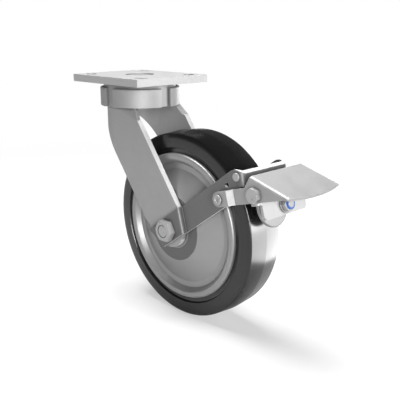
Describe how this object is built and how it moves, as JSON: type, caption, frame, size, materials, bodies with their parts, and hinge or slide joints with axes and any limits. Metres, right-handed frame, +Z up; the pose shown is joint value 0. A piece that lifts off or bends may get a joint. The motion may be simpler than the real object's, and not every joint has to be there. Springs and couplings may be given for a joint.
{
  "type": "swivel castor",
  "caption": "Plate-mounted swivel castor with a bent-plate fork, a wheel with rubber tyre on ball bearings, and a foot pedal that presses a brake pad on the tread.",
  "frame": {"origin": "centre of the top plate's mounting face, on the swivel axis", "axes": "+Z up into the equipment along the swivel axis, +X toward the trailing side with the wheel and the pedal, Y along the axle"},
  "size_m": [0.3058, 0.101, 0.256],
  "materials": {
    "steel": "dull zinc plated sheet steel",
    "fasteners": "bright zinc plated",
    "bearing": "polished bearing steel",
    "rim": "satin grey pressed steel",
    "tyre": "black rubber",
    "block": "friction rubber",
    "insert": "blue nylon"
  },
  "bodies": {
    "plate": {"top_plate": "steel", "kingpin": "fasteners", "lower_race": "fasteners", "kingpin_nut": "fasteners"},
    "fork": {"swivel_ring": "steel", "upper_balls": "bearing", "lower_balls": "bearing", "fork": "steel", "axle_bolt": "fasteners", "axle_nut": "fasteners", "axle_sleeve": "fasteners", "inner_ring_near": "bearing", "inner_ring_far": "bearing", "brake_yoke": "steel", "pivot_pin_near": "fasteners", "pivot_pin_far": "fasteners", "pivot_bush_near": "fasteners", "pivot_bush_far": "fasteners", "stop_rivet_near": "fasteners", "stop_rivet_far": "fasteners"},
    "wheel": {"hub_tube": "rim", "rim_disc_near": "rim", "rim_disc_far": "rim", "tyre": "tyre", "outer_ring_near": "bearing", "outer_ring_far": "bearing", "bearing_balls_near": "bearing", "bearing_balls_far": "bearing"},
    "pedal": {"brake_pedal": "steel", "cross_bolt": "fasteners", "cross_nut": "fasteners", "pad_bracket": "steel", "pad_cup": "steel", "brake_block": "block", "pad_screw": "fasteners", "stop_nut": "fasteners", "pad_washer": "fasteners", "lock_nut": "fasteners", "lock_insert": "insert"}
  },
  "joints": [
    {"name": "swivel", "type": "hinge", "parent": "plate", "child": "fork", "pos_m": [0, 0, -0.02], "axis": [0, 0, 1], "continuous": true},
    {"name": "wheel_spin", "type": "hinge", "parent": "fork", "child": "wheel", "pos_m": [0.0885, 0, -0.1545], "axis": [0, 1, 0], "continuous": true},
    {"name": "pedal_press", "type": "hinge", "parent": "fork", "child": "pedal", "pos_m": [0.16529, 0, -0.1053], "axis": [0, 1, 0], "range_deg": [0, 11.8], "stiffness_Nm_per_rad": 4, "springref_deg": -14.32}
  ]
}
